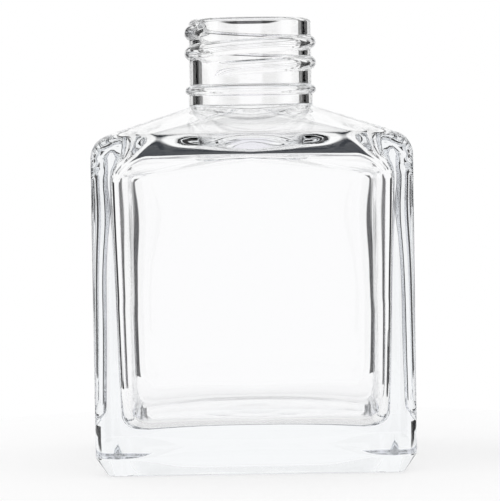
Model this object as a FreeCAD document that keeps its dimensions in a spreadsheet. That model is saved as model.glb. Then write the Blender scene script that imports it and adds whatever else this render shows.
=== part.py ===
import FreeCAD
import Part
import Sketcher
import os

# Driving dimensions in millimetres, degrees or counts
DIMENSIONS = {
    # Glass body, outside
    "body_width": 64.0,
    "body_depth": 64.0,
    "corner_radius": 4.2,
    "heel_inset": 2.6,
    "heel_rise": 3.6,
    "heel_softness": 0.9,
    "push_up_diameter": 41.0,
    "push_up_depth": 1.2,
    "shoulder_foot_height": 66.7,
    "shoulder_edge_radius": 5.0,
    "neck_foot_height": 73.5,
    # Glass walls
    "wall_high": 3.8,
    "wall_low": 5.2,
    "base_thickness": 8.1,
    "floor_rise": 2.7,
    "shoulder_wall": 3.1,
    "cavity_corner_radius": 3.5,
    "cavity_heel_radius": 2.2,
    "cavity_shoulder_radius": 5.0,
    # Neck finish
    "bottle_height": 91.6,
    "collar_diameter": 25.9,
    "neck_diameter": 25.5,
    "bore_diameter": 21.5,
    "lip_radius": 0.9,
    "bead_diameter": 27.3,
    "bead_radius": 0.95,
    "bead_drop": 14.7,
    "thread_diameter": 27.4,
    "thread_pitch": 4.23,
    "thread_turns": 1.9,
    "thread_drop": 10.4,
    "thread_root_width": 2.4,
    "thread_crest_width": 1.1,
    "thread_start_angle": 225.0,
    # Screw cap
    "cap_wall": 1.5,
    "cap_height": 19.6,
    "cap_top_thickness": 1.8,
    "cap_top_radius": 1.2,
    "cap_thread_clearance": 0.3,
    "cap_thread_height": 4.0,
    "cap_thread_turns": 1.5,
    "cap_groove_count": 60,
    "cap_groove_radius": 0.6,
    "cap_groove_depth": 0.45,
    "cap_groove_stop": 2.4,
    # Liner under the cap's top
    "liner_thickness": 1.2,
    "liner_clearance": 0.3,
    # Where the taken-off cap stands beside the bottle
    "cap_park_x": 76.0,
    "cap_park_y": 0.0,
}

# How far a swept or revolved form reaches into the wall that carries it
ROOT_SINK = 0.4
# The cap's radii, from the thread that it goes over
CAP_INSIDE = "dims.thread_diameter / 2 + dims.cap_thread_clearance"
CAP_OUTSIDE = f"{CAP_INSIDE} + dims.cap_wall"
FULL_TURN = 360

doc = FreeCAD.newDocument("aftershave_bottle")


def make_sheet():
    """The sheet of driving dimensions, one named cell each."""
    cells = doc.addObject("Spreadsheet::Sheet", "dims")
    for row, (alias, size) in enumerate(DIMENSIONS.items(), start=1):
        cells.set(f"A{row}", alias)
        cells.set(f"B{row}", str(size))
        cells.setAlias(f"B{row}", alias)
    doc.recompute()
    return cells


sheet = make_sheet()


def value(expression):
    """The number an expression of the sheet's cells comes to."""
    found = sheet.evalExpression(expression)
    return float(getattr(found, "Value", found))


def bind(feature, **sizes):
    """Ties properties of a feature to expressions of the sheet's cells."""
    for name, expression in sizes.items():
        feature.setExpression(name, expression)


def new_body(name):
    return doc.addObject("PartDesign::Body", name)


def origin_feature(body, role):
    return next(f for f in body.Origin.OriginFeatures if f.Role == role)


def outline_sketch(body, name, plane, corners):
    """A closed outline on an origin plane; each corner is two expressions, across and up."""
    sketch = body.newObject("Sketcher::SketchObject", name)
    sketch.AttachmentSupport = (origin_feature(body, plane), [""])
    sketch.MapMode = "FlatFace"
    points = [FreeCAD.Vector(value(across), value(up), 0) for across, up in corners]
    count = len(points)
    for index, start in enumerate(points):
        sketch.addGeometry(Part.LineSegment(start, points[(index + 1) % count]), False)
    for index in range(count):
        sketch.addConstraint(Sketcher.Constraint("Coincident", index, 2, (index + 1) % count, 1))
    for index, (across, up) in enumerate(corners):
        for kind, expression in (("DistanceX", across), ("DistanceY", up)):
            rule = Sketcher.Constraint(kind, -1, 1, index, 1, value(expression))
            label = f"{kind}_{index}"
            sketch.renameConstraint(sketch.addConstraint(rule), label)
            sketch.setExpression(f"Constraints.{label}", expression)
    return sketch


def mirrored(right_side):
    """The corners of an outline that is the same left and right, from its right side."""
    left_side = [(f"-({across})", up) for across, up in reversed(right_side)]
    return right_side + left_side


def prism(name, plane, corners, length):
    """An outline padded both ways from its plane."""
    body = new_body(name)
    pad = body.newObject("PartDesign::Pad", f"{name}_pad")
    pad.Profile = outline_sketch(body, f"{name}_outline", plane, corners)
    pad.SideType = "Symmetric"
    bind(pad, Length=length)
    doc.recompute()
    return body


def lies_on(edge, places, axes):
    """True where an edge runs through one of the places, measured along two axes."""
    ends = [vertex.Point for vertex in edge.Vertexes]
    near = 1e-4
    for place in places:
        if all(abs(end[axis] - size) < near for end in ends for axis, size in zip(axes, place)):
            return True
    return False


def round_edges(body, name, places, axes, radius):
    """Rounds the edges of a body that run square to the two axes through the places."""
    spots = [(value(across), value(up)) for across, up in places]
    base = body.Tip
    edges = enumerate(base.Shape.Edges, start=1)
    chosen = [f"Edge{number}" for number, edge in edges if lies_on(edge, spots, axes)]
    fillet = body.newObject("PartDesign::Fillet", name)
    fillet.Base = (base, chosen)
    bind(fillet, Radius=radius)
    body.Tip = fillet
    doc.recompute()


def both_sides(across, up):
    return [(across, up), (f"-({across})", up)]


AXES_XZ = (0, 2)
AXES_YZ = (1, 2)
AXES_XY = (0, 1)


def common(name, forms):
    shared = doc.addObject("Part::MultiCommon", name)
    shared.Shapes = forms
    return shared


def fused(name, forms):
    joined = doc.addObject("Part::MultiFuse", name)
    joined.Shapes = forms
    return joined


def plan_form(name, half_width, half_depth, radius):
    """The body's rounded rectangle seen from above, as a prism through the whole height."""
    corners = mirrored([(half_width, f"-({half_depth})"), (half_width, half_depth)])
    body = prism(name, "XY_Plane", corners, "2 * dims.bottle_height")
    places = both_sides(half_width, half_depth) + both_sides(half_width, f"-({half_depth})")
    round_edges(body, f"{name}_corners", places, AXES_XY, radius)
    return body


def outer_form():
    """The outside of the glass body: its front, side and plan outlines together."""
    half_width = "dims.body_width / 2"
    half_depth = "dims.body_depth / 2"
    collar = "dims.collar_diameter / 2"
    rise = "dims.heel_rise"
    foot = "dims.shoulder_foot_height"
    top = "dims.neck_foot_height"
    forms = []
    for name, plane, half, axes in (
        ("front_form", "XZ_Plane", half_width, AXES_XZ),
        ("side_form", "YZ_Plane", half_depth, AXES_YZ),
    ):
        standing = f"{half} - dims.heel_inset"
        corners = mirrored([(standing, "0"), (half, rise), (half, foot), (collar, top)])
        length = "2 * (dims.body_width + dims.body_depth)"
        body = prism(name, plane, corners, length)
        heels = both_sides(standing, "0") + both_sides(half, rise)
        round_edges(body, f"{name}_heel", heels, axes, "dims.heel_softness")
        round_edges(body, f"{name}_edge", both_sides(half, foot), axes, "dims.shoulder_edge_radius")
        forms.append(body)
    forms.append(plan_form("plan_form", half_width, half_depth, "dims.corner_radius"))
    return common("glass_outside", forms)


def cavity_form():
    """The hollow for the liquid, a little wider at the top, up to the foot of the bore."""
    bore = "dims.bore_diameter / 2"
    floor = "dims.base_thickness"
    foot = "dims.shoulder_foot_height - dims.shoulder_wall"
    top = "dims.neck_foot_height - dims.shoulder_wall"
    length = "2 * (dims.body_width + dims.body_depth)"
    forms = []
    lows = []
    highs = []
    for name, plane, across, axes in (
        ("cavity_front", "XZ_Plane", "dims.body_width", AXES_XZ),
        ("cavity_side", "YZ_Plane", "dims.body_depth", AXES_YZ),
    ):
        low = f"{across} / 2 - dims.wall_low"
        high = f"{across} / 2 - dims.wall_high"
        corners = mirrored([(low, floor), (high, foot), (bore, top)])
        body = prism(name, plane, corners, length)
        round_edges(body, f"{name}_heel", both_sides(low, floor), axes, "dims.cavity_heel_radius")
        round_edges(body, f"{name}_edge", both_sides(high, foot), axes, "dims.cavity_shoulder_radius")
        forms.append(body)
        lows.append(low)
        highs.append(high)
    forms.append(leaning_plan("cavity_plan", lows, highs, floor, foot, top))
    cavity = doc.addObject("Part::Cut", "cavity")
    cavity.Base = common("cavity_box", forms)
    cavity.Tool = floor_dome(*lows)
    return cavity


def leaning_plan(name, lows, highs, floor, foot, top):
    """The hollow's plan as a block that widens upwards, with its four leaning edges rounded."""
    body = new_body(name)
    block = body.newObject("PartDesign::AdditiveWedge", f"{name}_block")
    rise = f"(({top}) - ({floor})) / (({foot}) - ({floor}))"
    for axis, low, high in zip("XZ", lows, highs):
        end = f"({low}) + (({high}) - ({low})) * {rise}"
        sizes = {f"{axis}min": f"-({low})", f"{axis}max": low, f"{axis}2min": f"-({end})", f"{axis}2max": end}
        bind(block, **sizes)
    bind(block, Ymin="0", Ymax=f"({top}) - ({floor})")
    body.Placement.Rotation = FreeCAD.Rotation(FreeCAD.Vector(1, 0, 0), FULL_TURN / 4)
    body.setExpression("Placement.Base.z", floor)
    doc.recompute()
    leaning = []
    for number, edge in enumerate(block.Shape.Edges, start=1):
        start, end = (vertex.Point for vertex in edge.Vertexes)
        if all(abs(start[axis] - end[axis]) > 1e-4 for axis in range(3)):
            leaning.append(f"Edge{number}")
    fillet = body.newObject("PartDesign::Fillet", f"{name}_corners")
    fillet.Base = (block, leaning)
    bind(fillet, Radius="dims.cavity_corner_radius")
    body.Tip = fillet
    doc.recompute()
    return body


def ball_cap(name, reach_squared, height, base):
    """A wide ball whose top rises above a base level, over a circle of the given reach."""
    ball = doc.addObject("Part::Sphere", name)
    radius = f"({reach_squared} + ({height}) ^ 2) / (2 * {height})"
    bind(ball, Radius=radius)
    ball.setExpression("Placement.Base.z", f"{base} + {height} - {radius}")
    return ball


def floor_dome(half_width, half_depth):
    """The rise of the glass floor, which meets the cavity's lowest corners."""
    reach_squared = f"(({half_width}) ^ 2 + ({half_depth}) ^ 2)"
    return ball_cap("floor_dome", reach_squared, "dims.floor_rise", "dims.base_thickness")


def neck_form():
    """The neck as a turned form, with its lip rounded; the bore is cut later."""
    body = new_body("neck_form")
    buried = "dims.neck_foot_height - dims.shoulder_wall"
    bead_middle = "dims.bottle_height - dims.bead_drop"
    lip = "dims.bottle_height"
    collar = "dims.collar_diameter / 2"
    neck = "dims.neck_diameter / 2"
    corners = [
        ("0", buried),
        (collar, buried),
        (collar, bead_middle),
        (neck, bead_middle),
        (neck, lip),
        ("0", lip),
    ]
    turned = body.newObject("PartDesign::Revolution", "neck_turned")
    turned.Profile = outline_sketch(body, "neck_outline", "XZ_Plane", corners)
    turned.ReferenceAxis = (origin_feature(body, "Z_Axis"), [""])
    turned.Angle = FULL_TURN
    doc.recompute()
    round_edges(body, "neck_lip", [(neck, lip)], AXES_XZ, "dims.lip_radius")
    return body


def bead_form():
    bead = doc.addObject("Part::Torus", "bead")
    bind(
        bead,
        Radius1="dims.bead_diameter / 2 - dims.bead_radius",
        Radius2="dims.bead_radius",
    )
    bead.setExpression("Placement.Base.z", "dims.bottle_height - dims.bead_drop")
    return bead


def helix_ridge(body, name, root, crest, low, turns):
    """A screw-thread ridge in a body: its section runs from the root radius to the crest radius."""
    half_root = "dims.thread_root_width / 2"
    half_crest = "dims.thread_crest_width / 2"
    corners = [
        (root, f"{low} - {half_root}"),
        (crest, f"{low} - {half_crest}"),
        (crest, f"{low} + {half_crest}"),
        (root, f"{low} + {half_root}"),
    ]
    section = outline_sketch(body, f"{name}_section", "XZ_Plane", corners)
    ridge = body.newObject("PartDesign::AdditiveHelix", name)
    ridge.Profile = section
    ridge.ReferenceAxis = (origin_feature(body, "Z_Axis"), [""])
    ridge.Mode = "pitch-turns-angle"
    bind(ridge, Pitch="dims.thread_pitch", Turns=turns)
    body.Tip = ridge
    doc.recompute()
    return ridge


def thread_form():
    """The right-hand thread on the neck, rising from its lower end."""
    body = new_body("neck_thread")
    helix_ridge(
        body,
        "thread",
        f"dims.neck_diameter / 2 - {ROOT_SINK}",
        "dims.thread_diameter / 2",
        "dims.bottle_height - dims.thread_drop",
        "dims.thread_turns",
    )
    bind(body, **{"Placement.Rotation.Angle": "dims.thread_start_angle"})
    return body


def glass_bottle():
    solid = fused("glass_solid", [outer_form(), neck_form(), bead_form(), thread_form()])
    bore = doc.addObject("Part::Cylinder", "bore")
    bind(
        bore,
        Radius="dims.bore_diameter / 2",
        Height="dims.bottle_height - dims.neck_foot_height + 2 * dims.shoulder_wall",
    )
    bore.setExpression("Placement.Base.z", "dims.neck_foot_height - 2 * dims.shoulder_wall")
    blown = doc.addObject("Part::Cut", "glass_blown")
    blown.Base = solid
    blown.Tool = fused("hollow", [cavity_form(), bore])
    glass = doc.addObject("Part::Cut", "glass")
    glass.Base = blown
    glass.Tool = ball_cap("push_up", "(dims.push_up_diameter / 2) ^ 2", "dims.push_up_depth", "0")
    glass.Label = "glass_bottle"
    return glass


def screw_cap():
    """The moulded cap, standing skirt down: a turned shell, grooves round the skirt and a thread inside."""
    body = new_body("screw_cap")
    ceiling = "dims.cap_height - dims.cap_top_thickness"
    corners = [
        (CAP_INSIDE, "0"),
        (CAP_OUTSIDE, "0"),
        (CAP_OUTSIDE, "dims.cap_height"),
        ("0", "dims.cap_height"),
        ("0", ceiling),
        (CAP_INSIDE, ceiling),
    ]
    shell = body.newObject("PartDesign::Revolution", "cap_shell")
    shell.Profile = outline_sketch(body, "cap_outline", "XZ_Plane", corners)
    shell.ReferenceAxis = (origin_feature(body, "Z_Axis"), [""])
    shell.Angle = FULL_TURN
    doc.recompute()
    top_edge = [(CAP_OUTSIDE, "dims.cap_height")]
    round_edges(body, "cap_top_edge", top_edge, AXES_XZ, "dims.cap_top_radius")
    cut_grip_grooves(body)
    helix_ridge(
        body,
        "cap_thread",
        f"{CAP_INSIDE} + {ROOT_SINK}",
        "dims.neck_diameter / 2 + dims.cap_thread_clearance",
        "dims.cap_thread_height",
        "dims.cap_thread_turns",
    )
    bind(body, **{"Placement.Base.x": "dims.cap_park_x", "Placement.Base.y": "dims.cap_park_y"})
    return body


def cut_grip_grooves(body):
    """The upright grooves that make the skirt easy to grip."""
    whole = body.Tip.Shape.Volume
    sketch = body.newObject("Sketcher::SketchObject", "groove_outline")
    sketch.AttachmentSupport = (origin_feature(body, "XY_Plane"), [""])
    sketch.MapMode = "FlatFace"
    radius = "dims.cap_groove_radius"
    middle = f"{CAP_OUTSIDE} + {radius} - dims.cap_groove_depth"
    centre = FreeCAD.Vector(value(middle), 0, 0)
    sketch.addGeometry(Part.Circle(centre, FreeCAD.Vector(0, 0, 1), value(radius)), False)
    sketch.addConstraint(Sketcher.Constraint("PointOnObject", 0, 3, -1))
    for label, rule, expression in (
        ("groove_middle", Sketcher.Constraint("DistanceX", -1, 1, 0, 3, value(middle)), middle),
        ("groove_radius", Sketcher.Constraint("Radius", 0, value(radius)), radius),
    ):
        sketch.renameConstraint(sketch.addConstraint(rule), label)
        sketch.setExpression(f"Constraints.{label}", expression)
    groove = body.newObject("PartDesign::Pocket", "groove")
    groove.Profile = sketch
    groove.Reversed = True
    bind(groove, Length="dims.cap_height - dims.cap_groove_stop")
    doc.recompute()
    ring = body.newObject("PartDesign::PolarPattern", "groove_ring")
    ring.Originals = [groove]
    ring.Axis = (origin_feature(body, "Z_Axis"), [""])
    ring.Angle = FULL_TURN
    bind(ring, Occurrences="dims.cap_groove_count")
    body.Tip = ring
    doc.recompute()
    if ring.Shape.Volume >= whole:
        raise RuntimeError("the grip grooves cut nothing")


def cap_liner():
    """The soft disc that lies against the inside of the cap's top."""
    liner = doc.addObject("Part::Cylinder", "cap_liner")
    bind(liner, Radius=f"{CAP_INSIDE} - dims.liner_clearance", Height="dims.liner_thickness")
    rest = "dims.cap_height - dims.cap_top_thickness - dims.liner_thickness"
    bind(
        liner,
        **{
            "Placement.Base.x": "dims.cap_park_x",
            "Placement.Base.y": "dims.cap_park_y",
            "Placement.Base.z": rest,
        },
    )
    return liner


def check_document(sub_parts):
    """Stops the build where a feature failed or a sub-part is not one sound solid."""
    for feature in doc.Objects:
        if {"Invalid", "Error"} & set(feature.State):
            raise RuntimeError(f"{feature.Name} failed: {feature.State}")
    for sub_part in sub_parts:
        shape = sub_part.Shape
        if shape.isNull() or not shape.isValid() or len(shape.Solids) != 1:
            raise RuntimeError(f"{sub_part.Label} is not one sound solid")


sub_parts = [glass_bottle(), screw_cap(), cap_liner()]
doc.recompute()
check_document(sub_parts)
os.makedirs("parts", exist_ok=True)
for sub_part in sub_parts:
    sub_part.Shape.exportStep(f"parts/{sub_part.Label}.step")
    print(f"{sub_part.Label}: {sub_part.Shape.Volume:.0f} mm3")
hollow = doc.getObject("hollow").Shape.Volume
print(f"brimful volume about {hollow / 1000:.0f} ml")
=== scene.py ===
import math

import bmesh
import bpy
from mathutils import Matrix, Vector


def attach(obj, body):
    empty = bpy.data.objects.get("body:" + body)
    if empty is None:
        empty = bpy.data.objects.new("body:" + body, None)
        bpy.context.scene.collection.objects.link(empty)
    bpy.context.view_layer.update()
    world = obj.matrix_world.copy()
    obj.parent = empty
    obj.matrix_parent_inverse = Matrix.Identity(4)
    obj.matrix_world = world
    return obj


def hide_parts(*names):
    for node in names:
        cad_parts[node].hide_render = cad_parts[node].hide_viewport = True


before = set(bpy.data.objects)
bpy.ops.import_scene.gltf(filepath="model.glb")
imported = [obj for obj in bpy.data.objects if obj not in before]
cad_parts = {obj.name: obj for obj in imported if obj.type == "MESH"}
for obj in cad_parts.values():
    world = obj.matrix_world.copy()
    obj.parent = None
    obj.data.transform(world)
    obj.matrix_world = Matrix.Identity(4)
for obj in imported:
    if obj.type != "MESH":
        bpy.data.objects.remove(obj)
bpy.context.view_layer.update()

MM = 0.001
FULL_TURN = 2 * math.pi
# Points nearer than a weld become one, and a hair keeps two runs of a profile apart
WELD = 0.0005
HAIR = 0.01

# Glass body, in millimetres from the axis and from the table
BODY_HALF = 32.0
BODY_CORNER = 4.2
HEEL_INSET = 2.6
HEEL_RISE = 3.6
HEEL_SOFTNESS = 0.9
# The heel's upper edge is this loose at the middle of a wall, and sharpens on the way to a corner
HEEL_LOOSE = 8.0
HEEL_SHARP_FROM = 0.45
HEEL_SHARP_BLEND = 0.35
# The plan of the base is round out to the push-up's edge, and square from the standing ring on
PUSH_UP_RADIUS = 28.0
RING_SQUARE = 28.5
RING_MIDDLE = (PUSH_UP_RADIUS + BODY_HALF - HEEL_INSET) / 2
PUSH_UP_DEPTH = 1.2
PUSH_UP_SOFTNESS = 8.0
SHOULDER_FOOT = 66.7
MID_HEIGHT = SHOULDER_FOOT / 2
SHOULDER_EDGE_RADIUS = 5.0
NECK_FOOT = 73.5
NECK_FOOT_FILLET = 0.5

# Hollow inside the glass
CAVITY_HALF_HIGH = 28.2
CAVITY_HALF_LOW = 26.8
CAVITY_CORNER_HIGH = 4.0
CAVITY_CORNER_LOW = 3.5
CAVITY_CORNER_FLOOR = 6.0
CAVITY_FLOOR = 8.1
CAVITY_HEEL_RADIUS = 2.2
CAVITY_HEEL_LOOSE = 4.0
# The plan of the floor is round out to the first of these, and square from the second on
FLOOR_ROUND = 16.0
FLOOR_SQUARE = 22.8
CAVITY_SHOULDER_FOOT = 63.5
CAVITY_SHOULDER_RADIUS = 2.2
CAVITY_SHOULDER_LOOSE = 8.0
CAVITY_TOP = 70.3
CAVITY_TOP_FILLET = 1.0
SHOULDER_CROWN = 0.3
FLOOR_RISE = 2.7
BLEND_HEIGHT = 16.0
FLOOR_BLEND = 9.0
# The walls are blown out a little all over, and by more around one height
WALL_BOW = 0.1
WALL_BOW_MOST = 0.45
WALL_BOW_HEIGHT = 51.0
WALL_BOW_REACH = 8.0

# Neck finish
BOTTLE_HEIGHT = 91.6
COLLAR_RADIUS = 12.95
NECK_RADIUS = 12.75
BORE_RADIUS = 10.75
LIP_RADIUS = 0.9
MOUTH_RADIUS = 0.7
BEAD_REACH = 13.65
BEAD_RADIUS = 0.95
BEAD_HEIGHT = 76.9
THREAD_REACH = 13.7
THREAD_PITCH = 4.23
THREAD_TURNS = 2.02
THREAD_LOW = 80.9
THREAD_START = math.radians(225)
THREAD_RUN_OUT = 0.7
RIDGE_ROOT_HALF = 1.4
RIDGE_ROUND = 1.51

# Screw cap and liner, standing beside the bottle
CAP_PLACE = Vector((76.0, 0.0, 0.0))
CAP_RADIUS = 15.5
CAP_HEIGHT = 19.6
CAP_INSIDE = 14.0
CAP_CEILING = 17.8
CAP_TOP_RADIUS = 1.2
CAP_RIM_RADIUS = 0.3
CAP_RIM_TOP = 1.0
CAP_THREAD_REACH = 13.05
CAP_THREAD_LOW = 4.0
CAP_THREAD_TURNS = 1.5
GROOVE_COUNT = 60
GROOVE_DEPTH = 0.45
GROOVE_HALF_WIDTH = 0.58
GROOVE_TOP = 17.2
GROOVE_RUN_OUT = 0.6
LINER_RADIUS = 13.7
LINER_LOW = 16.6
LINER_EDGE_RADIUS = 0.2
LIP_MARK_RADIUS = 11.7
LIP_MARK_DEPTH = 0.1


def linear(hex_colour):
    """An sRGB hex colour as linear red, green, blue and alpha."""
    channels = [int(hex_colour[i : i + 2], 16) / 255 for i in (1, 3, 5)]
    return [c / 12.92 if c <= 0.04045 else ((c + 0.055) / 1.055) ** 2.4 for c in channels] + [1.0]


def add_node(tree, kind, settings=None, links=None):
    """Adds one node, sets its properties and sockets, and links what feeds it."""
    node = tree.nodes.new(kind)
    for name, setting in (settings or {}).items():
        if isinstance(name, int) or name in node.inputs:
            node.inputs[name].default_value = setting
        else:
            setattr(node, name, setting)
    for name, source in (links or {}).items():
        tree.links.new(source, node.inputs[name])
    return node


def ease(share):
    """A smooth step from 0 to 1."""
    share = min(1.0, max(0.0, share))
    return share * share * (3 - 2 * share)


# Profiles, as points (distance from the axis, height)


def rounded(corners, steps=14):
    """The points of a profile whose corners (across, up, radius) are rounded by arcs."""
    points = [Vector(corners[0][:2])]
    for before, corner, after in zip(corners, corners[1:], corners[2:]):
        tip, radius = Vector(corner[:2]), corner[2]
        back = (Vector(before[:2]) - tip).normalized()
        on = (Vector(after[:2]) - tip).normalized()
        half_angle = back.angle(on) / 2
        middle = tip + (back + on).normalized() * radius / math.sin(half_angle)
        first = tip + back * radius / math.tan(half_angle) - middle
        turn = first.angle_signed(tip + on * radius / math.tan(half_angle) - middle)
        for step in range(steps + 1):
            points.append(middle + Matrix.Rotation(-turn * step / steps, 2) @ first)
    return points + [Vector(corners[-1][:2])]


def divided(points, longest, measured=None):
    """The same profile with its long runs cut into pieces, as many as another profile's runs need."""
    measured = measured or points
    result = [points[0]]
    for start, end, first, last in zip(points, points[1:], measured, measured[1:]):
        pieces = max(1, math.ceil((last - first).length / longest))
        result += [start.lerp(end, (k + 1) / pieces) for k in range(pieces)]
    return result


def turned(profile, steps):
    """A profile spun all the way round the upright axis; every point keeps its rank in the profile."""
    mesh = bmesh.new()
    rank = mesh.verts.layers.int.new("rank")
    points = [mesh.verts.new((across, 0, up)) for across, up in profile]
    for index, point in enumerate(points):
        point[rank] = index
    edges = [mesh.edges.new(pair) for pair in zip(points, points[1:])]
    bmesh.ops.spin(
        mesh,
        geom=points + edges,
        cent=(0, 0, 0),
        axis=(0, 0, 1),
        angle=FULL_TURN,
        steps=steps,
        use_merge=True,
    )
    bmesh.ops.remove_doubles(mesh, verts=mesh.verts, dist=WELD)
    return mesh


def finished(mesh, name, body, node, material):
    """A closed mesh in millimetres becomes a smooth piece that rides on its body."""
    bmesh.ops.recalc_face_normals(mesh, faces=mesh.faces)
    bmesh.ops.scale(mesh, verts=mesh.verts, vec=(MM, MM, MM))
    for face in mesh.faces:
        face.smooth = True
    data = bpy.data.meshes.new(name)
    mesh.to_mesh(data)
    mesh.free()
    data.materials.append(material)
    piece = bpy.data.objects.new(name, data)
    bpy.context.scene.collection.objects.link(piece)
    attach(piece, body)
    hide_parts(node)
    return piece


def ridge(turned_by, up, low, turns):
    """How much of a screw thread's height stands at one place of its cylinder, from 0 to 1."""
    foot = math.sqrt(RIDGE_ROUND**2 - RIDGE_ROOT_HALF**2)
    height = 0.0
    turn = turned_by % FULL_TURN
    whole = FULL_TURN * turns
    while turn < whole:
        middle = low + THREAD_PITCH * turn / FULL_TURN
        run_out = ease(turn / THREAD_RUN_OUT) * ease((whole - turn) / THREAD_RUN_OUT)
        off = min(RIDGE_ROOT_HALF, abs(up - middle))
        stand = (math.sqrt(RIDGE_ROUND**2 - off**2) - foot) / (RIDGE_ROUND - foot)
        height = max(height, run_out * stand)
        turn += FULL_TURN
    return height


# Glass bottle

CROWDING = 0.9
BOTTLE_STEPS = 288
NECK_STEP = 0.15
LONGEST_RUN = 2.0
DOME_RINGS = 5
RING_GAP = 0.1
COLLAR_GAP = 0.2
COLLAR_OVER_BEAD = 0.5
LEAST_CORNER = 0.3
ON_NECK = 0.05


def neck_reach(up):
    """The neck's radius at a height, with the bead under the thread."""
    reach = NECK_RADIUS + (COLLAR_RADIUS - NECK_RADIUS) * ease(BEAD_HEIGHT + COLLAR_OVER_BEAD - up)
    off = abs(up - BEAD_HEIGHT)
    if off < BEAD_RADIUS:
        reach = max(reach, BEAD_REACH - BEAD_RADIUS + math.sqrt(BEAD_RADIUS**2 - off**2))
    return reach


def base_profile():
    """From the middle of the pushed-up base to the middle of the ring that it stands on."""
    dome = [(0, PUSH_UP_DEPTH)]
    for step in range(1, DOME_RINGS):
        share = step / DOME_RINGS
        dome.append((PUSH_UP_RADIUS * share, PUSH_UP_DEPTH * (1 - share**2), PUSH_UP_SOFTNESS))
    return rounded(dome + [(PUSH_UP_RADIUS, 0, PUSH_UP_SOFTNESS), (RING_MIDDLE, 0)], steps=3)


def outside_profile(heel_radius):
    """From the standing ring over the heel and up the wall to the top of the shoulder."""
    return rounded(
        [
            (RING_MIDDLE + RING_GAP, 0),
            (BODY_HALF - HEEL_INSET, 0, HEEL_SOFTNESS),
            (BODY_HALF, HEEL_RISE, heel_radius),
            (BODY_HALF, SHOULDER_FOOT, SHOULDER_EDGE_RADIUS),
            (COLLAR_RADIUS, NECK_FOOT, NECK_FOOT_FILLET),
            (COLLAR_RADIUS, BEAD_HEIGHT - BEAD_RADIUS - COLLAR_GAP),
        ]
    )


def neck_profile():
    """Up the neck to the lip."""
    low = BEAD_HEIGHT - BEAD_RADIUS
    lip = BOTTLE_HEIGHT - LIP_RADIUS
    count = round((lip - low) / NECK_STEP)
    heights = [low + (lip - low) * step / count for step in range(count)]
    return [Vector((neck_reach(up), up)) for up in heights]


def mouth_profile():
    """Over the lip into the bore."""
    lip = BOTTLE_HEIGHT
    over_lip = [
        (NECK_RADIUS, lip - LIP_RADIUS - HAIR),
        (NECK_RADIUS, lip, LIP_RADIUS - 2 * HAIR),
        (BORE_RADIUS, lip, MOUTH_RADIUS),
        (BORE_RADIUS, lip - 2 * MOUTH_RADIUS),
    ]
    return rounded(over_lip, steps=7)


def inside_profile(shoulder_radius, heel_radius):
    """Down the bore and the inside of the walls to the middle of the floor."""
    return rounded(
        [
            (BORE_RADIUS, BOTTLE_HEIGHT - 3 * MOUTH_RADIUS),
            (BORE_RADIUS, CAVITY_TOP, CAVITY_TOP_FILLET),
            (CAVITY_HALF_HIGH, CAVITY_SHOULDER_FOOT, shoulder_radius),
            (CAVITY_HALF_LOW, CAVITY_FLOOR, heel_radius),
            (0, CAVITY_FLOOR),
        ]
    )


def plan_corner_of(point, wall_half, corner, low_round, low_square, high_round):
    """The corner radius of the squared plan at one ring: small by the walls, a circle near the axis."""
    inset = max(0.0, wall_half - point.x)
    if point.y < MID_HEIGHT:
        by_wall = max(LEAST_CORNER, corner - inset)
        share = ease((point.x - low_round) / (low_square - low_round))
        return point.x + (by_wall - point.x) * share
    share = min(1.0, inset / (wall_half - high_round))
    return min(point.x, corner + (high_round - corner) * share)


def inside_corner_of(point):
    """The corner radius of the hollow's plan at one ring: loose at the floor and tight above it."""
    wall_half = CAVITY_HALF_HIGH if point.y > MID_HEIGHT else CAVITY_HALF_LOW
    blended = CAVITY_FLOOR + BLEND_HEIGHT
    up = ease((point.y - blended) / (CAVITY_SHOULDER_FOOT - blended))
    down = ease(1 - (point.y - CAVITY_FLOOR) / FLOOR_BLEND)
    corner = CAVITY_CORNER_LOW + (CAVITY_CORNER_HIGH - CAVITY_CORNER_LOW) * up
    corner += (CAVITY_CORNER_FLOOR - CAVITY_CORNER_LOW) * down
    return plan_corner_of(point, wall_half, corner, FLOOR_ROUND, FLOOR_SQUARE, BORE_RADIUS)


def outside_corner_of(point):
    """The corner radius of the bottle's plan at one ring of its outside."""
    return plan_corner_of(point, BODY_HALF, BODY_CORNER, PUSH_UP_RADIUS, RING_SQUARE, COLLAR_RADIUS)


def parts_of(angle):
    """The longer and the shorter part of a direction, along the two sides of a square."""
    parts = abs(math.cos(angle)), abs(math.sin(angle))
    return max(parts), min(parts)


def reach_of_square(angle, half, corner):
    """How far a square with rounded corners lies from its middle in one direction."""
    along, beside = parts_of(angle)
    straight = half - corner
    if half * beside <= straight * along:
        return half / along
    to_arc = (along + beside) * straight
    return to_arc + math.sqrt(max(0.0, corner**2 - 2 * straight**2 + to_arc**2))


def corner_share(angle):
    """0 at the middle of a wall and 1 at a corner."""
    along, beside = parts_of(angle)
    return beside / along


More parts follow.
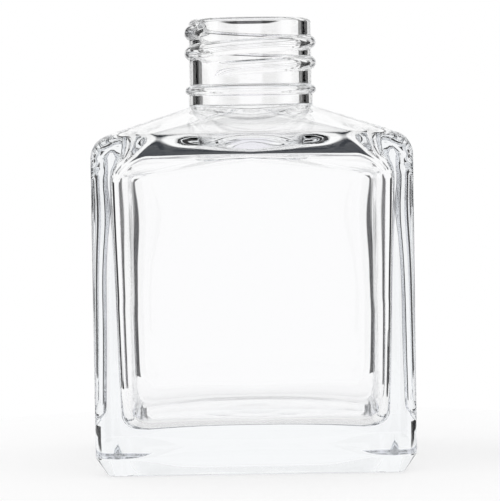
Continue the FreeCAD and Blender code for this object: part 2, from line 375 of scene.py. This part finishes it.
def settled(point):
    """Where the inside of the hot glass came to rest: the floor domed up, the shoulders sagging to
    the corners, and the walls blown thinner at their middles."""
    floor = ease(1 - (point.z - CAVITY_FLOOR) / BLEND_HEIGHT)
    out = (point.x**2 + point.y**2) / (2 * CAVITY_HALF_LOW**2)
    lift = FLOOR_RISE * max(0.0, 1 - out) * floor
    shoulder = ease((point.z - CAVITY_SHOULDER_FOOT) / BLEND_HEIGHT + 1)
    corner = min(abs(point.x), abs(point.y)) / CAVITY_HALF_HIGH
    drop = SHOULDER_CROWN * corner**2 * shoulder
    off = (point.z - WALL_BOW_HEIGHT) / WALL_BOW_REACH
    bow = WALL_BOW + WALL_BOW_MOST * math.exp(-off * off)
    bow *= ease((point.z - CAVITY_FLOOR) / BLEND_HEIGHT) * ease((CAVITY_TOP - point.z) / BLEND_HEIGHT)
    aside_x = bow * point.x / CAVITY_HALF_LOW * max(0.0, 1 - (point.y / CAVITY_HALF_LOW) ** 2)
    aside_y = bow * point.y / CAVITY_HALF_LOW * max(0.0, 1 - (point.x / CAVITY_HALF_LOW) ** 2)
    return point + Vector((aside_x, aside_y, lift - drop))


def glass_bottle(material):
    """One closed skin: up the outside, over the lip and down the inside, spun round and then squared."""
    base = base_profile()
    sharp, soft = outside_profile(HEEL_SOFTNESS), outside_profile(HEEL_LOOSE)
    soft = base + divided(soft, LONGEST_RUN, sharp)
    sharp = base + divided(sharp, LONGEST_RUN)
    neck = neck_profile() + mouth_profile()
    tight = inside_profile(CAVITY_SHOULDER_RADIUS, CAVITY_HEEL_RADIUS)
    loose = inside_profile(CAVITY_SHOULDER_LOOSE, CAVITY_HEEL_LOOSE)
    loose = divided(loose, LONGEST_RUN, tight)
    tight = divided(tight, LONGEST_RUN)
    mesh = turned(sharp + neck + tight, BOTTLE_STEPS)
    rank = mesh.verts.layers.int["rank"]
    for vert in mesh.verts:
        angle = math.atan2(vert.co.y, vert.co.x)
        angle += CROWDING / 4 * math.sin(4 * angle)
        share = corner_share(angle)
        outside = vert[rank]
        inside = outside - len(sharp + neck)
        if inside >= 0:
            place = tight[inside].lerp(loose[inside], share)
            reach = reach_of_square(angle, place.x, inside_corner_of(place))
        elif outside >= len(sharp):
            place = neck[outside - len(sharp)]
            reach = place.x
            if reach > NECK_RADIUS - ON_NECK:
                stand = ridge(angle - THREAD_START, place.y, THREAD_LOW, THREAD_TURNS)
                reach += stand * (THREAD_REACH - NECK_RADIUS)
        else:
            sharpness = ease((share - HEEL_SHARP_FROM) / HEEL_SHARP_BLEND)
            place = soft[outside].lerp(sharp[outside], sharpness)
            reach = reach_of_square(angle, place.x, outside_corner_of(place))
        vert.co = (reach * math.cos(angle), reach * math.sin(angle), place.y)
        if inside >= 0:
            vert.co = settled(vert.co)
    return finished(mesh, "blown_bottle", "bottle", "glass_bottle", material)


# Screw cap and its liner

CAP_RUN = 1.0
CAP_THREAD_RUN = 0.3
STEPS_PER_GROOVE = 8
ON_SKIRT = 0.02
LINER_RUN = 0.5
LINER_STEPS = 128


def groove(angle, up):
    """How deep the grip grooves cut at one place of the skirt."""
    pitch = FULL_TURN / GROOVE_COUNT
    off = ((angle + pitch / 2) % pitch - pitch / 2) * CAP_RADIUS
    share = max(0.0, 1 - (off / GROOVE_HALF_WIDTH) ** 2)
    return GROOVE_DEPTH * share * ease((GROOVE_TOP - up) / GROOVE_RUN_OUT)


def screw_cap(material):
    """The ribbed cap with its inner thread, spun as one closed skin and then cut and raised."""
    outer = rounded(
        [
            (CAP_INSIDE, CAP_RIM_TOP),
            (CAP_INSIDE, 0, CAP_RIM_RADIUS),
            (CAP_RADIUS, 0, CAP_RIM_RADIUS),
            (CAP_RADIUS, CAP_HEIGHT, CAP_TOP_RADIUS),
            (0, CAP_HEIGHT),
        ],
        steps=6,
    )
    inner = [Vector((0, CAP_CEILING)), Vector((CAP_INSIDE, CAP_CEILING))]
    skirt = [Vector((CAP_INSIDE, CAP_CEILING - HAIR)), Vector((CAP_INSIDE, CAP_RIM_TOP))]
    inner += divided(skirt, CAP_THREAD_RUN)
    mesh = turned(divided(outer, CAP_RUN) + inner, GROOVE_COUNT * STEPS_PER_GROOVE)
    for vert in mesh.verts:
        across = math.hypot(vert.co.x, vert.co.y)
        if across < CAP_INSIDE - ON_SKIRT:
            continue
        angle = math.atan2(vert.co.y, vert.co.x)
        up = vert.co.z
        if across > CAP_RADIUS - ON_SKIRT:
            reach = across - groove(angle, up)
        elif across < CAP_INSIDE + ON_SKIRT:
            stand = ridge(angle, up, CAP_THREAD_LOW, CAP_THREAD_TURNS)
            reach = across - stand * (CAP_INSIDE - CAP_THREAD_REACH)
        else:
            reach = across
        vert.co.x = reach * math.cos(angle)
        vert.co.y = reach * math.sin(angle)
    bmesh.ops.translate(mesh, verts=mesh.verts, vec=CAP_PLACE)
    return finished(mesh, "moulded_cap", "cap", "screw_cap", material)


def cap_liner(material):
    """The sealing disc, with the faint ring that the bottle's lip pressed into it."""
    outline = rounded(
        [
            (0, LINER_LOW),
            (LINER_RADIUS, LINER_LOW, LINER_EDGE_RADIUS),
            (LINER_RADIUS, CAP_CEILING, LINER_EDGE_RADIUS),
            (0, CAP_CEILING),
        ],
        steps=5,
    )
    mesh = turned(divided(outline, LINER_RUN), LINER_STEPS)
    for vert in mesh.verts:
        if vert.co.z < LINER_LOW + HAIR:
            off = math.hypot(vert.co.x, vert.co.y) - LIP_MARK_RADIUS
            vert.co.z += LIP_MARK_DEPTH * ease(1 - abs(off))
    bmesh.ops.translate(mesh, verts=mesh.verts, vec=CAP_PLACE)
    return finished(mesh, "foam_liner", "cap", "cap_liner", material)


# Materials


def new_material(name):
    """An empty node material, its tree and its main shader."""
    material = bpy.data.materials.new(name)
    material.use_nodes = True
    return material, material.node_tree, material.node_tree.nodes["Principled BSDF"]


def flint_glass():
    """Clear soda-lime glass, blown into a mould and fire polished: a smooth skin with long faint
    ripples where the glass froze, and a breath of grey-blue that only long paths gather."""
    ripple_mm = 22.0
    ripple_depth_mm = 0.12
    material, tree, shader = new_material("fire_polished_flint_glass")
    place = add_node(tree, "ShaderNodeTexCoord").outputs["Object"]
    ripple = add_node(
        tree,
        "ShaderNodeTexNoise",
        {"Scale": 1 / (ripple_mm * MM), "Detail": 1.0, "Roughness": 0.4},
        {"Vector": place},
    )
    bump = add_node(
        tree,
        "ShaderNodeBump",
        {"Strength": 1.0, "Distance": ripple_depth_mm * MM},
        {"Height": ripple.outputs["Fac"]},
    )
    tree.links.new(bump.outputs[0], shader.inputs["Normal"])
    shader.inputs["Base Color"].default_value = linear("#ffffff")
    shader.inputs["Transmission Weight"].default_value = 1.0
    shader.inputs["IOR"].default_value = 1.52
    shader.inputs["Roughness"].default_value = 0.0
    depth = add_node(tree, "ShaderNodeVolumeAbsorption", {"Color": linear("#d3dee6"), "Density": 3.0})
    tree.links.new(depth.outputs[0], tree.nodes["Material Output"].inputs["Volume"])
    return material


def moulded_polypropylene():
    """Black polypropylene from a spark-eroded mould: satin, finely grained, with cloudy patches."""
    grain_mm = 0.5
    grain_depth_mm = 0.03
    cloud_mm = 7.0
    material, tree, shader = new_material("moulded_black_polypropylene")
    place = add_node(tree, "ShaderNodeTexCoord").outputs["Object"]
    grain = add_node(
        tree,
        "ShaderNodeTexNoise",
        {"Scale": 1 / (grain_mm * MM), "Detail": 3.0},
        {"Vector": place},
    )
    cloud = add_node(
        tree,
        "ShaderNodeTexNoise",
        {"Scale": 1 / (cloud_mm * MM), "Detail": 2.0},
        {"Vector": place},
    )
    colour = add_node(
        tree,
        "ShaderNodeMix",
        {"data_type": "RGBA", 6: linear("#131315"), 7: linear("#1d1d20")},
        {0: cloud.outputs["Fac"]},
    )
    sheen = add_node(
        tree,
        "ShaderNodeMapRange",
        {"From Min": 0.3, "From Max": 0.7, "To Min": 0.3, "To Max": 0.42},
        {"Value": cloud.outputs["Fac"]},
    )
    bump = add_node(
        tree,
        "ShaderNodeBump",
        {"Strength": 0.25, "Distance": grain_depth_mm * MM},
        {"Height": grain.outputs["Fac"]},
    )
    tree.links.new(colour.outputs[2], shader.inputs["Base Color"])
    tree.links.new(sheen.outputs[0], shader.inputs["Roughness"])
    tree.links.new(bump.outputs[0], shader.inputs["Normal"])
    shader.inputs["IOR"].default_value = 1.49
    return material


def expanded_foam():
    """White expanded polyethylene sheet: soft and dull, with a fine closed-cell surface whose grooves
    between the bubbles are darkened with painted shade.
    """
    cell_mm = 0.45
    cell_depth_mm = 0.08
    material, tree, shader = new_material("expanded_polyethylene_foam")
    place = add_node(tree, "ShaderNodeTexCoord").outputs["Object"]
    foam_cells_and_shade = add_node(
        tree,
        "ShaderNodeTexVoronoi",
        {"Scale": 1 / (cell_mm * MM)},
        {"Vector": place},
    )
    # Painted shade: the foam is drawn darker towards the edges of its cells, where the bump sinks them
    # into grooves
    colour = add_node(
        tree,
        "ShaderNodeMix",
        {"data_type": "RGBA", 6: linear("#f3f2ee"), 7: linear("#dddbd4")},
        {0: foam_cells_and_shade.outputs["Distance"]},
    )
    bump = add_node(
        tree,
        "ShaderNodeBump",
        {"Strength": 0.5, "Distance": cell_depth_mm * MM, "invert": True},
        {"Height": foam_cells_and_shade.outputs["Distance"]},
    )
    tree.links.new(colour.outputs[2], shader.inputs["Base Color"])
    tree.links.new(bump.outputs[0], shader.inputs["Normal"])
    shader.inputs["Roughness"].default_value = 0.85
    return material


# Studio

TABLE_RADIUS = 0.105
TABLE_DROP = 0.00002


def table_top():
    """A plain white table, a little self-lit so that only the object's own shadow greys it."""
    mesh = bmesh.new()
    bmesh.ops.create_circle(mesh, cap_ends=True, segments=128, radius=TABLE_RADIUS)
    bmesh.ops.translate(mesh, verts=mesh.verts, vec=(0, 0, -TABLE_DROP))
    data = bpy.data.meshes.new("table_top")
    mesh.to_mesh(data)
    mesh.free()
    material, _, shader = new_material("white_table")
    shader.inputs["Base Color"].default_value = linear("#959595")
    shader.inputs["Roughness"].default_value = 1.0
    shader.inputs["Specular IOR Level"].default_value = 0.0
    shader.inputs["Emission Color"].default_value = linear("#ffffff")
    shader.inputs["Emission Strength"].default_value = 0.7
    data.materials.append(material)
    table = bpy.data.objects.new("table_top", data)
    bpy.context.scene.collection.objects.link(table)


# Toward the camera's side the white of the room is faintly lavender, past these degrees round
FRONT_FROM = 105.0
FRONT_EDGE = 12.0
# Black cards shade the white room: a wide and a tall one in the corners behind, a low one at the
# sides, one in the corners in front, and one under and one over the wall behind.
# Each reaches from and to these degrees round from that wall, on the left as on the right, and from
# its foot to its top, and has a soft edge this wide
CARDS = [
    (23.0, 62.0, -10.0, 7.0, 1.5, "#060607"),
    (23.0, 36.0, -18.0, 20.0, 1.5, "#060607"),
    (55.0, 82.0, -18.0, -9.0, 1.5, "#060607"),
    (118.0, 156.0, -9.0, 7.0, 1.5, "#060607"),
    (-5.0, 25.0, -60.0, -20.0, 2.0, "#060607"),
    (-10.0, 58.0, 43.0, 100.0, 4.0, "#1b222a"),
]


def room():
    """White to the eye and for soft light; what the glass bends or mirrors also sees the cards."""
    world = bpy.data.worlds.new("white_room")
    bpy.context.scene.world = world
    world.use_nodes = True
    tree = world.node_tree
    tree.nodes.clear()
    way = add_node(tree, "ShaderNodeTexCoord").outputs["Generated"]
    x, y, z = add_node(tree, "ShaderNodeSeparateXYZ", links={0: way}).outputs
    across = add_node(tree, "ShaderNodeMath", {"operation": "ABSOLUTE"}, {0: x}).outputs[0]
    aside = add_node(tree, "ShaderNodeMath", {"operation": "ARCTAN2"}, {0: across, 1: y}).outputs[0]
    height = add_node(tree, "ShaderNodeMath", {"operation": "ARCSINE"}, {0: z}).outputs[0]

    def past(angle, limit, edge):
        """1 where an angle is past a limit in degrees, with a soft edge."""
        reach = {"From Min": math.radians(limit - edge), "From Max": math.radians(limit + edge)}
        step = {"interpolation_type": "SMOOTHSTEP"} | reach
        return add_node(tree, "ShaderNodeMapRange", step, {"Value": angle}).outputs[0]

    def between(angle, low, high, edge):
        """1 where an angle lies between two limits."""
        links = {0: past(angle, low, edge), 1: past(angle, high, edge)}
        return add_node(tree, "ShaderNodeMath", {"operation": "SUBTRACT"}, links).outputs[0]

    around = add_node(
        tree,
        "ShaderNodeMix",
        {"data_type": "RGBA", 6: linear("#ffffff"), 7: linear("#f1f0f5")},
        {0: past(aside, FRONT_FROM, FRONT_EDGE)},
    )
    for start, end, foot, top, edge, colour in CARDS:
        card = add_node(
            tree,
            "ShaderNodeMath",
            {"operation": "MULTIPLY"},
            {0: between(aside, start, end, edge), 1: between(height, foot, top, edge)},
        )
        around = add_node(
            tree,
            "ShaderNodeMix",
            {"data_type": "RGBA", 7: linear(colour)},
            {0: card.outputs[0], 6: around.outputs[2]},
        )
    ray = add_node(tree, "ShaderNodeLightPath")
    plain = add_node(
        tree,
        "ShaderNodeMath",
        {"operation": "MAXIMUM"},
        {0: ray.outputs["Is Camera Ray"], 1: ray.outputs["Is Diffuse Ray"]},
    )
    colour = add_node(
        tree,
        "ShaderNodeMix",
        {"data_type": "RGBA", 7: linear("#ffffff")},
        {0: plain.outputs[0], 6: around.outputs[2]},
    )
    light = add_node(tree, "ShaderNodeBackground", links={"Color": colour.outputs[2]})
    add_node(tree, "ShaderNodeOutputWorld", links={"Surface": light.outputs[0]})


# The photograph's camera
PHOTO_WIDTH_PX = 500
FOCAL_PX = 2548
SENSOR_MM = 36
CAMERA_DISTANCE = 533.0
CAMERA_HEIGHT = 64.4
CAMERA_PITCH = math.radians(2.26)
CAMERA_ROLL = math.radians(0.9)
AIM_ASIDE_PX = -3.2


def photo_camera():
    """Level with the shoulders, half a metre off, tipped a little down and rolled a little."""
    data = bpy.data.cameras.new("photo_camera")
    data.sensor_fit = "HORIZONTAL"
    data.sensor_width = SENSOR_MM
    data.lens = SENSOR_MM * FOCAL_PX / PHOTO_WIDTH_PX
    data.clip_end = 100
    camera = bpy.data.objects.new("photo_camera", data)
    camera.location = (0, -CAMERA_DISTANCE * MM, CAMERA_HEIGHT * MM)
    turn = Matrix.Rotation(math.atan(-AIM_ASIDE_PX / FOCAL_PX), 3, "Z")
    tip = Matrix.Rotation(math.pi / 2 - CAMERA_PITCH, 3, "X")
    roll = Matrix.Rotation(-CAMERA_ROLL, 3, "Z")
    camera.rotation_euler = (turn @ tip @ roll).to_euler()
    bpy.context.scene.collection.objects.link(camera)
    bpy.context.scene.camera = camera


photo_camera()
room()
table_top()
glass_bottle(flint_glass())
screw_cap(moulded_polypropylene())
cap_liner(expanded_foam())
bpy.context.scene.view_settings.view_transform = "Standard"
# Light runs a long way inside thick glass before it finds a way out
bpy.context.scene.cycles.glossy_bounces = 16
bpy.context.scene.cycles.transmission_bounces = 20
bpy.context.scene.cycles.max_bounces = 24
